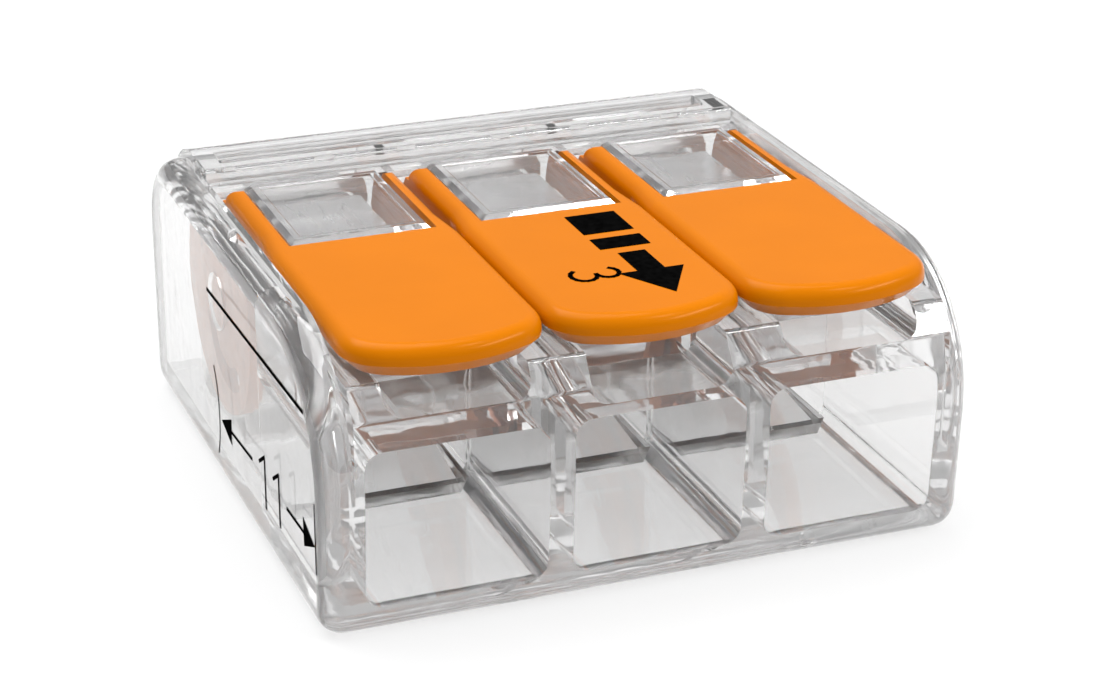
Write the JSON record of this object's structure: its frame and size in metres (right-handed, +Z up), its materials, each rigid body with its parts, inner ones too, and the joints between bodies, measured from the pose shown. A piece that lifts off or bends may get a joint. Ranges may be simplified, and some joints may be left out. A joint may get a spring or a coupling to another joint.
{
  "type": "lever wire connector",
  "caption": "Compact splicing connector: clear shell, a row of wire entries at the front, and a lever over each that lifts a leaf-spring clamp off a common busbar.",
  "frame": {"origin": "centre of the flat underside", "axes": "+Z up, -Y towards the side of the wire entries, +X to the right seen from the wire entries"},
  "size_m": [0.0186, 0.0186, 0.0083],
  "materials": {
    "clear_shell": "clear moulded polycarbonate, polished",
    "clear_cover": "clear moulded polycarbonate, polished",
    "orange_lever": "orange moulded plastic, glossy",
    "tinned_copper": "tin-plated copper, satin",
    "spring_steel": "rolled stainless spring steel"
  },
  "bodies": {
    "shell": {"housing": "clear_shell", "rear_cover": "clear_cover", "busbar": "tinned_copper", "clamp_spring_left": "spring_steel", "clamp_spring_middle": "spring_steel", "clamp_spring_right": "spring_steel"},
    "lever_left": {"lever_left": "orange_lever"},
    "clamp_leg_left": {"spring_leg_left": "spring_steel"},
    "lever_middle": {"lever_middle": "orange_lever"},
    "clamp_leg_middle": {"spring_leg_middle": "spring_steel"},
    "lever_right": {"lever_right": "orange_lever"},
    "clamp_leg_right": {"spring_leg_right": "spring_steel"}
  },
  "joints": [
    {"name": "lever_open_left", "type": "hinge", "parent": "shell", "child": "lever_left", "pos_m": [-0.0056, 0.0016, 0.0056], "axis": [-1, 0, 0], "range_deg": [0, 90]},
    {"name": "clamp_lift_left", "type": "hinge", "parent": "shell", "child": "clamp_leg_left", "pos_m": [-0.0056, -0.0013, 0.00575], "axis": [1, 0, 0], "range_deg": [0, 28.8]},
    {"name": "lever_open_middle", "type": "hinge", "parent": "shell", "child": "lever_middle", "pos_m": [0, 0.0016, 0.0056], "axis": [-1, 0, 0], "range_deg": [0, 90]},
    {"name": "clamp_lift_middle", "type": "hinge", "parent": "shell", "child": "clamp_leg_middle", "pos_m": [0, -0.0013, 0.00575], "axis": [1, 0, 0], "range_deg": [0, 28.8]},
    {"name": "lever_open_right", "type": "hinge", "parent": "shell", "child": "lever_right", "pos_m": [0.0056, 0.0016, 0.0056], "axis": [-1, 0, 0], "range_deg": [0, 90]},
    {"name": "clamp_lift_right", "type": "hinge", "parent": "shell", "child": "clamp_leg_right", "pos_m": [0.0056, -0.0013, 0.00575], "axis": [1, 0, 0], "range_deg": [0, 28.8]}
  ],
  "couplings": [
    {"joint": "clamp_lift_left", "follows": "lever_open_left", "ratio": 0.32},
    {"joint": "clamp_lift_middle", "follows": "lever_open_middle", "ratio": 0.32},
    {"joint": "clamp_lift_right", "follows": "lever_open_right", "ratio": 0.32}
  ]
}
